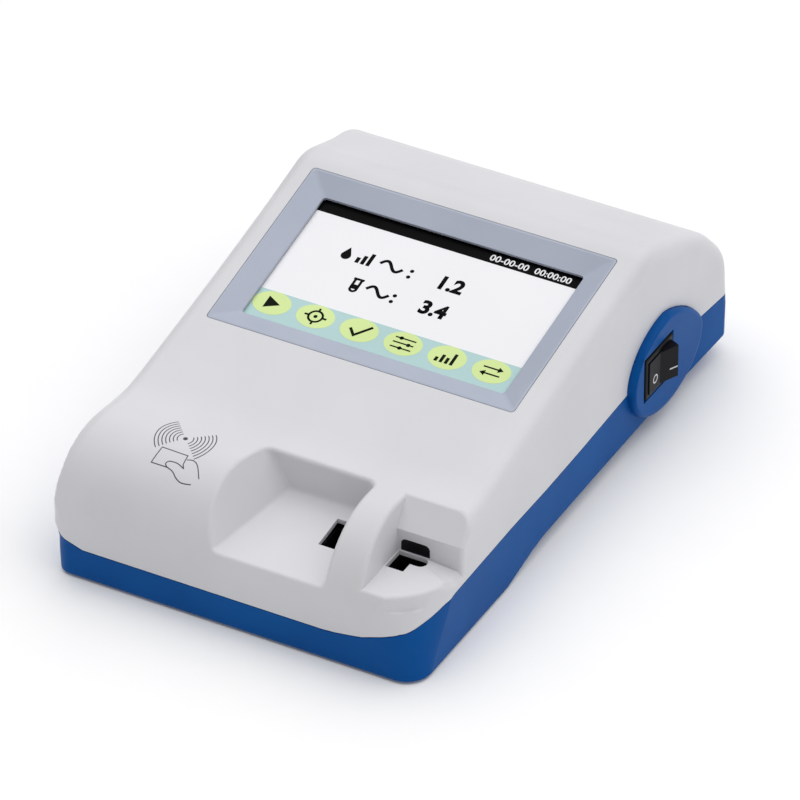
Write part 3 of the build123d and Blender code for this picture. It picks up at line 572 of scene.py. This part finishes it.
class Sheets:
    """Thin flat pieces drawn in millimetres on a plane, gathered in one mesh."""

    def __init__(self):
        self.mesh = bmesh.new()

    def polygon(self, points):
        self.mesh.faces.new([self.mesh.verts.new((x, y, 0)) for x, y in points])

    def box(self, x_low, y_low, x_high, y_high):
        self.polygon([(x_low, y_low), (x_high, y_low), (x_high, y_high), (x_low, y_high)])

    def disc(self, x, y, width, height, steps=64):
        turns = [2 * pi * step / steps for step in range(steps)]
        self.polygon([(x + width / 2 * cos(turn), y + height / 2 * sin(turn)) for turn in turns])

    def stroke(self, points, width, closed=False):
        """A line of even width through points, with mitred corners."""
        spots = [Vector(point) for point in points]
        count = len(spots)
        sides = []
        for index, spot in enumerate(spots):
            before = spots[index - 1] if index or closed else None
            after = spots[(index + 1) % count] if index < count - 1 or closed else None
            legs = ((before, spot), (spot, after))
            ways = [(b - a).normalized() for a, b in legs if a is not None and b is not None]
            along = sum(ways, Vector((0, 0))).normalized()
            across = Vector((-along.y, along.x))
            reach = width / 2 / max(MITRE_LIMIT, across.dot(Vector((-ways[0].y, ways[0].x))))
            sides.append([self.mesh.verts.new((*(spot + across * reach * side), 0)) for side in (1, -1)])
        for index in range(count if closed else count - 1):
            left, right = sides[index]
            next_left, next_right = sides[(index + 1) % count]
            self.mesh.faces.new((left, right, next_right, next_left))

    def arc(self, x, y, radius, start, stop, width, steps=40):
        turns = [radians(start + (stop - start) * step / steps) for step in range(steps + 1)]
        self.stroke([(x + radius * cos(turn), y + radius * sin(turn)) for turn in turns], width)

    def ring(self, x, y, radius, width, steps=48):
        turns = [2 * pi * step / steps for step in range(steps)]
        self.stroke([(x + radius * cos(turn), y + radius * sin(turn)) for turn in turns], width, True)

    def text(self, words, x, y, height, bold=0.0, spacing=1.0):
        """Generic figures in Blender's own font, with their lower left corner at a place."""
        curve = bpy.data.curves.new("figures", "FONT")
        curve.body = words
        curve.size = height * DIGIT_SIZE
        curve.offset = bold
        curve.space_character = spacing
        curve.resolution_u = 8
        holder = bpy.data.objects.new("figures", curve)
        outline = bpy.data.meshes.new_from_object(holder)
        outline.transform(Matrix.Translation((x, y, 0)))
        self.mesh.from_mesh(outline)
        bpy.data.meshes.remove(outline)
        bpy.data.objects.remove(holder)
        bpy.data.curves.remove(curve)

    def thicken(self, depth):
        """Gives the flat faces a thickness, upwards from their plane."""
        bmesh.ops.remove_doubles(self.mesh, verts=self.mesh.verts, dist=SAME_POINT)
        bmesh.ops.recalc_face_normals(self.mesh, faces=self.mesh.faces)
        for face in self.mesh.faces:
            if face.normal.z < 0:
                face.normal_flip()
        grown = bmesh.ops.extrude_face_region(self.mesh, geom=self.mesh.faces[:], use_keep_orig=True)
        lifted = [item for item in grown["geom"] if isinstance(item, bmesh.types.BMVert)]
        bmesh.ops.translate(self.mesh, verts=lifted, vec=(0, 0, depth))
        bmesh.ops.recalc_face_normals(self.mesh, faces=self.mesh.faces)

    def finish(self, name, place, material, slot, body="root"):
        mesh = bpy.data.meshes.new(name)
        self.mesh.to_mesh(mesh)
        self.mesh.free()
        mesh.transform(place @ Matrix.Scale(MM, 4))
        mesh.materials.append(material)
        piece = new_object(name, mesh)
        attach(piece, body)


# Screen picture, drawn on the glass from its centre: x to the right, y up the slope

def glass_frame():
    """The glass's own frame, at the middle of its upper face, and the window's half sizes."""
    low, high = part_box("touch_panel")
    span = (high - low) / MM
    turn_cos, turn_sin = cos(SCREEN_TILT), sin(SCREEN_TILT)
    spread = turn_cos ** 2 - turn_sin ** 2
    length = (span.y * turn_cos - span.z * turn_sin) / spread
    thickness = (span.z * turn_cos - span.y * turn_sin) / spread
    middle = Matrix.Translation((low + high) / 2) @ Matrix.Rotation(SCREEN_TILT, 4, "X")
    top = middle @ Matrix.Translation((0, 0, thickness / 2 * MM))
    return top, span.x / 2 - GLASS_MARGIN, length / 2 - GLASS_MARGIN


BAR_EDGE = 38.6
BAND_EDGE = -24.4
BUTTON_ROW = -32.9
BUTTON_FIRST = -68.3
BUTTON_PITCH = 26.55
BUTTON_SIZE = (22.0, 16.8)

# Half height of a button's mark and width of its lines: the marks' own points are shares of these
GLYPH = 4.4
PEN = 1.25


def play_mark(sheet, x, y):
    sheet.polygon([(x - GLYPH * 0.8, y - GLYPH), (x + GLYPH * 1.1, y), (x - GLYPH * 0.8, y + GLYPH)])


def target_mark(sheet, x, y):
    sheet.ring(x, y, GLYPH * 0.9, PEN)
    sheet.disc(x, y, PEN * 1.8, PEN * 1.8)
    for side in (-1, 1):
        sheet.stroke([(x + side * GLYPH * 0.9, y), (x + side * GLYPH * 1.5, y)], PEN)
        sheet.stroke([(x, y + side * GLYPH * 0.9), (x, y + side * GLYPH * 1.4)], PEN)


def tick_mark(sheet, x, y):
    tick = [(x - GLYPH * 1.2, y), (x - GLYPH * 0.3, y - GLYPH), (x + GLYPH * 1.4, y + GLYPH)]
    sheet.stroke(tick, PEN * 1.3)


def slider_mark(sheet, x, y):
    for row, knob in ((1, -0.6), (0, 0.7), (-1, -0.1)):
        level = y + row * GLYPH * 0.8
        sheet.stroke([(x - GLYPH * 1.4, level), (x + GLYPH * 1.4, level)], PEN * 0.7)
        sheet.disc(x + knob * GLYPH, level, PEN * 1.9, PEN * 1.9)


def chart_mark(sheet, x, y):
    for column, tall in enumerate((0.7, 1.3, 1.0, 1.9)):
        left = x + (column - 2) * GLYPH * 0.7
        sheet.box(left, y - GLYPH, left + GLYPH * 0.42, y - GLYPH + tall * GLYPH)


def swap_mark(sheet, x, y):
    for side in (-1, 1):
        level = y + side * GLYPH * 0.5
        tip = x + side * GLYPH * 1.4
        sheet.stroke([(x - side * GLYPH * 1.3, level), (tip - side * GLYPH * 0.4, level)], PEN * 0.8)
        sheet.polygon([(tip, level), (tip - side * GLYPH * 0.7, level - GLYPH * 0.45),
                       (tip - side * GLYPH * 0.7, level + GLYPH * 0.45)])


def drop_mark(sheet, x, y, height):
    """A falling drop: a round lower end under a point."""
    radius = height * 0.31
    turns = [radians(150 + 240 * step / 30) for step in range(31)]
    outline = [(x + radius * cos(turn), y + radius + radius * sin(turn)) for turn in turns]
    sheet.polygon(outline + [(x, y + height)])


def tube_mark(sheet, x, y, height):
    half = height * 0.2
    sheet.stroke([(x - half, y + height), (x - half, y + half)], PEN * 1.2)
    sheet.stroke([(x + half, y + height), (x + half, y + half)], PEN * 1.2)
    sheet.arc(x, y + half, half, 180, 360, PEN * 1.2)
    sheet.stroke([(x - half * 1.7, y + height), (x + half * 1.7, y + height)], PEN * 1.2)
    sheet.box(x - half, y + half, x + half, y + height * 0.55)


def wave_mark(sheet, x, y, height):
    steps = 36
    spots = [(x + height * 1.5 * step / steps, y + height / 2 + height * 0.32 * sin(2 * pi * step / steps))
             for step in range(steps + 1)]
    sheet.stroke(spots, PEN * 1.5)


def colon(sheet, x, y, height):
    for level in (0.12, 0.62):
        sheet.disc(x, y + height * level, PEN * 1.9, PEN * 1.9)


def bars_mark(sheet, x, y, height):
    for column, tall in enumerate((0.45, 0.7, 1.0)):
        left = x + column * height * 0.36
        sheet.box(left, y, left + height * 0.24, y + height * tall)


# Marks and figures by line: the maker or the words, and where it starts from the middle
FIRST_LINE = 11.2
SECOND_LINE = -8.6
LINE_HEIGHT = 9.2
VALUE_X = 6.5
VALUE_BOLD = 0.55
FIRST_MARKS = ((drop_mark, -48.5), (bars_mark, -42.0), (wave_mark, -28.5), (colon, -9.6))
SECOND_MARKS = ((tube_mark, -33.0), (wave_mark, -26.5), (colon, -9.6))
BUTTON_MARKS = (play_mark, target_mark, tick_mark, slider_mark, chart_mark, swap_mark)

CLOCK_PLACE = (24.5, 40.4)
CLOCK_HEIGHT = 4.4
CLOCK_BOLD = 0.12
CLOCK_SPACING = 1.02

# Layers of the picture, counted in sheets above the glass, and how far its field reaches under the bezel
FIELD_LEVEL = 0
PRINT_LEVEL = 1.2
BUTTON_LEVEL = 2.4
MARK_LEVEL = 3.6
UNDER_BEZEL = GLASS_MARGIN - 0.5

# How strongly the parts of the picture shine by themselves
FIELD_GLOW = 0.05
TINT_GLOW = 0.08
CLOCK_GLOW = 0.1


def screen_picture():
    """The display's picture: a field, a dark bar with a clock, two lines of values and a row of buttons."""
    top, half_width, half_length = glass_frame()
    x_edge = half_width + UNDER_BEZEL
    y_edge = half_length + UNDER_BEZEL

    def show(sheet, name, level, finish):
        sheet.thicken(SHEET)
        place = top @ Matrix.Translation((0, 0, (level + LAYER_GAP) * SHEET * MM))
        sheet.finish(name, place, finish, "screen_glass")

    field = Sheets()
    field.box(-x_edge, -y_edge, x_edge, y_edge)
    white = picture_finish("screen_white_finish", SCREEN_WHITE, SCREEN_WHITE_SHADE, FIELD_GLOW)
    show(field, "screen_field", FIELD_LEVEL, white)

    bar = Sheets()
    bar.box(-x_edge, BAR_EDGE, x_edge, y_edge)
    dark = picture_finish("screen_bar_finish", SCREEN_BAR, SCREEN_BAR)
    show(bar, "screen_bar", PRINT_LEVEL, dark)

    band = Sheets()
    band.box(-x_edge, -y_edge, x_edge, BAND_EDGE)
    blue = picture_finish("screen_band_finish", SCREEN_BAND, SCREEN_BAND_SHADE, TINT_GLOW)
    show(band, "screen_band", PRINT_LEVEL, blue)

    buttons = Sheets()
    marks = Sheets()
    for index, draw in enumerate(BUTTON_MARKS):
        x = BUTTON_FIRST + index * BUTTON_PITCH
        buttons.disc(x, BUTTON_ROW, *BUTTON_SIZE)
        draw(marks, x, BUTTON_ROW)
    green = picture_finish("screen_button_finish", SCREEN_BUTTON, SCREEN_BUTTON_SHADE, TINT_GLOW)
    show(buttons, "screen_buttons", BUTTON_LEVEL, green)
    ink = picture_finish("button_mark_finish", BUTTON_INK, BUTTON_INK)
    show(marks, "screen_button_marks", MARK_LEVEL, ink)

    values = Sheets()
    for line, drawn in ((FIRST_LINE, FIRST_MARKS), (SECOND_LINE, SECOND_MARKS)):
        for draw, x in drawn:
            draw(values, x, line, LINE_HEIGHT)
    values.text("1.2", VALUE_X, FIRST_LINE, LINE_HEIGHT, VALUE_BOLD)
    values.text("3.4", VALUE_X, SECOND_LINE, LINE_HEIGHT, VALUE_BOLD)
    black = picture_finish("screen_ink_finish", SCREEN_INK, SCREEN_INK)
    show(values, "screen_values", PRINT_LEVEL, black)

    clock = Sheets()
    clock.text("00-00-00  00:00:00", *CLOCK_PLACE, CLOCK_HEIGHT, CLOCK_BOLD, CLOCK_SPACING)
    light = picture_finish("screen_clock_finish", SCREEN_WHITE, SCREEN_WHITE, CLOCK_GLOW)
    show(clock, "screen_clock", BUTTON_LEVEL, light)


# Card-reading mark printed on the console

MARK_X = -54.9
MARK_Y = 46.4
PRINT_WIDTH = 0.55
PRINT_SHEET = 0.05
PRINT_SUNK = 0.3
DOT_WIDTH = 2.6
DOT_STEPS = 24
WAVE_FIRST = 4.4
WAVE_STEP = 2.0
WAVE_COUNT = 7
WAVE_TURNS = ((-45, 42), (132, 226))

# Outlines from the mark's middle: a card, and the hand that holds it by its lower right corner
CARD = [(0.9, -20.4), (-9.1, -20.4), (-8.0, -10.4), (7.6, -10.8), (7.9, -16.6)]
THUMB = [(0.2, -20.3), (-1.3, -18.9), (-0.7, -17.4), (1.0, -16.8), (5.0, -16.9), (9.4, -18.6)]
PALM = [(0.2, -20.3), (4.3, -21.6), (7.8, -24.1), (11.8, -25.5), (17.2, -24.9)]
BACK = [(8.4, -13.3), (12.0, -12.6), (15.5, -14.7), (20.0, -21.2)]


def smooth(points, steps=6):
    """Points along a soft line through the given ones."""
    spots = [Vector(point) for point in points]
    ends = [spots[0], *spots, spots[-1]]
    line = []
    for index in range(1, len(ends) - 2):
        a, b, c, d = ends[index - 1:index + 3]
        for step in range(steps):
            t = step / steps
            line.append(0.5 * (2 * b + (c - a) * t + (2 * a - 5 * b + 4 * c - d) * t ** 2
                               + (3 * b - a - 3 * c + d) * t ** 3))
    return line + [spots[-1]]


def fine(points, step=1.0):
    """The same line with points at most a step apart, so that it follows a curved surface."""
    spots = [Vector(point) for point in points]
    line = []
    for start, stop in zip(spots, spots[1:]):
        parts = max(1, int((stop - start).length / step))
        line += [start.lerp(stop, part / parts) for part in range(parts)]
    return line + [spots[-1]]


def card_mark(upper_shell):
    """The printed mark, laid on the console: waves on both sides of a dot, over a hand with a card."""
    sheet = Sheets()
    sheet.disc(0, 0, DOT_WIDTH, DOT_WIDTH, DOT_STEPS)
    for index in range(WAVE_COUNT):
        radius = WAVE_FIRST + index * WAVE_STEP
        for start, stop in WAVE_TURNS:
            sheet.arc(0, 0, radius, start, stop, PRINT_WIDTH)
    for line in (CARD, smooth(THUMB), [THUMB[-1], CARD[-1]], smooth(PALM), smooth(BACK)):
        sheet.stroke(fine(line), PRINT_WIDTH)
    sheet.thicken(PRINT_SHEET)
    shell = skin(upper_shell)
    above = housing_high.z + ABOVE_HOUSING
    for vertex in sheet.mesh.verts:
        level = vertex.co.z
        x = origin.x + (MARK_X + vertex.co.x) * MM
        y = origin.y + (MARK_Y + vertex.co.y) * MM
        spot, normal, index, distance = shell.ray_cast(Vector((x, y, above)), Vector((0, 0, -1)))
        vertex.co = (spot + normal * (level - PRINT_SUNK * PRINT_SHEET) * MM) / MM
    ink = picture_finish("printed_mark_finish", PRINT_GREY, PRINT_GREY)
    sheet.finish("card_mark", Matrix.Identity(4), ink, "white_shell")


# Painted shade: a thin black sheet on the step's wall stands for the dark mouth of the sample port where it
# cuts into the step behind it

NOTCH_LEFT = 74.0
NOTCH_RIGHT = 91.0
NOTCH_LOW = 47.1
NOTCH_HIGH = 54.5
NOTCH_CORNER = 3.0
IN_FRONT_OF_STEP = 38.0


def port_shade_sheet(upper_shell):
    """A thin black sheet of painted shade with round upper corners, laid on the step's wall where the port's
    mouth is.
    """
    sheet = Sheets()
    turns = [radians(turn) for turn in range(0, 91, 15)]
    corner = [(NOTCH_CORNER * (1 - cos(turn)), NOTCH_CORNER * (1 - sin(turn))) for turn in turns]
    left = [(NOTCH_LEFT + across, NOTCH_HIGH - down) for across, down in corner]
    right = [(NOTCH_RIGHT - across, NOTCH_HIGH - down) for across, down in reversed(corner)]
    sheet.polygon([(NOTCH_LEFT, NOTCH_LOW), *left, *right, (NOTCH_RIGHT, NOTCH_LOW)])
    sheet.thicken(SHEET)
    shell = skin(upper_shell)
    for vertex in sheet.mesh.verts:
        x, z, level = vertex.co
        start = origin + Vector((x, IN_FRONT_OF_STEP, z)) * MM
        spot, normal, index, distance = shell.ray_cast(start, Vector((0, 1, 0)))
        vertex.co = (spot + normal * (level - SUNK * SHEET) * MM) / MM
    bmesh.ops.recalc_face_normals(sheet.mesh, faces=sheet.mesh.faces)
    # The black plastic finish on this sheet is painted shade for the port's dark mouth, not a part of its
    # own.
    sheet.finish("port_shade_sheet", Matrix.Identity(4), finishes["black_plastic"], "black_plastic")


# O and I marks on the rocker

SWITCH_MARKS = {"rocker_off_mark": (257.8, "ring"), "rocker_on_mark": (271.8, "bar")}
SWITCH_MARK_Z = 37.5
RING_RADIUS = 2.3
BAR_LENGTH = 5.4
MARK_PEN = 0.8


def switch_marks():
    """The marks on the rocker's two halves, which ride on it."""
    rocker = skin(nodes["switch_rocker"])
    ink = picture_finish("rocker_mark_finish", MARK_WHITE, MARK_WHITE)
    outside = housing_high.x + BESIDE_HOUSING
    for name, (y, form) in SWITCH_MARKS.items():
        sheet = Sheets()
        if form == "ring":
            sheet.ring(0, 0, RING_RADIUS, MARK_PEN)
        else:
            sheet.stroke([(-BAR_LENGTH / 2, 0), (BAR_LENGTH / 2, 0)], MARK_PEN)
        sheet.thicken(SHEET)
        start = Vector((outside, origin.y + y * MM, origin.z + SWITCH_MARK_Z * MM))
        spot, normal, index, distance = rocker.ray_cast(start, Vector((-1, 0, 0)))
        along = Vector((0, 0, 1)).cross(normal).normalized()
        turn = Matrix((along, normal.cross(along), normal)).transposed().to_4x4()
        place = Matrix.Translation(spot - normal * SUNK * SHEET * MM) @ turn
        sheet.finish(name, place, ink, "black_rocker", "rocker")


# Floor, lights and camera

FLOOR_SIZE = 8.0
FLOOR_GLOW = 0.04
WORLD_STRENGTH = 0.31
# Each light's side, strength and spread in degrees
SUN_LIGHTS = {
    "soft_sky": ((0.0, 0.30, 1.0), 2.30, 100),
    "side_fill": ((1.0, -0.1, 0.35), 0.16, 40),
}


def pale_floor():
    mesh = bpy.data.meshes.new("floor")
    half = FLOOR_SIZE / 2
    corners = [(-half, -half, 0), (half, -half, 0), (half, half, 0), (-half, half, 0)]
    mesh.from_pydata(corners, [], [(0, 1, 2, 3)])
    floor = new_object("floor", mesh)
    finish = Finish("floor_finish", FLOOR_WHITE, FLOOR_SHADE, 0.9)
    finish.set(Specular_IOR_Level=0.1, Emission_Color=PURE_WHITE, Emission_Strength=FLOOR_GLOW)
    mesh.materials.append(finish.material)


def studio():
    scene = bpy.context.scene
    world = bpy.data.worlds.new("studio")
    world.use_nodes = True
    background = world.node_tree.nodes["Background"]
    background.inputs["Color"].default_value = PURE_WHITE
    background.inputs["Strength"].default_value = WORLD_STRENGTH
    scene.world = world
    for name, (source, strength, spread) in SUN_LIGHTS.items():
        lamp = bpy.data.lights.new(name, "SUN")
        lamp.energy = strength
        lamp.angle = radians(spread)
        holder = new_object(name, lamp)
        holder.rotation_euler = Vector(source).to_track_quat("Z", "Y").to_euler()
    scene.view_settings.view_transform = "Standard"


def camera():
    data = bpy.data.cameras.new("camera")
    data.lens = CAMERA_LENS
    data.sensor_width = SENSOR_WIDTH
    holder = new_object("camera", data)
    holder.location = origin + CAMERA_PLACE
    holder.rotation_euler = (pi / 2 - CAMERA_RISE, 0, CAMERA_TURN)
    bpy.context.scene.camera = holder


dress_nodes()
shells = reshape_shells()
screen_picture()
card_mark(shells["upper_shell"])
port_shade_sheet(shells["upper_shell"])
switch_marks()
pale_floor()
studio()
camera()
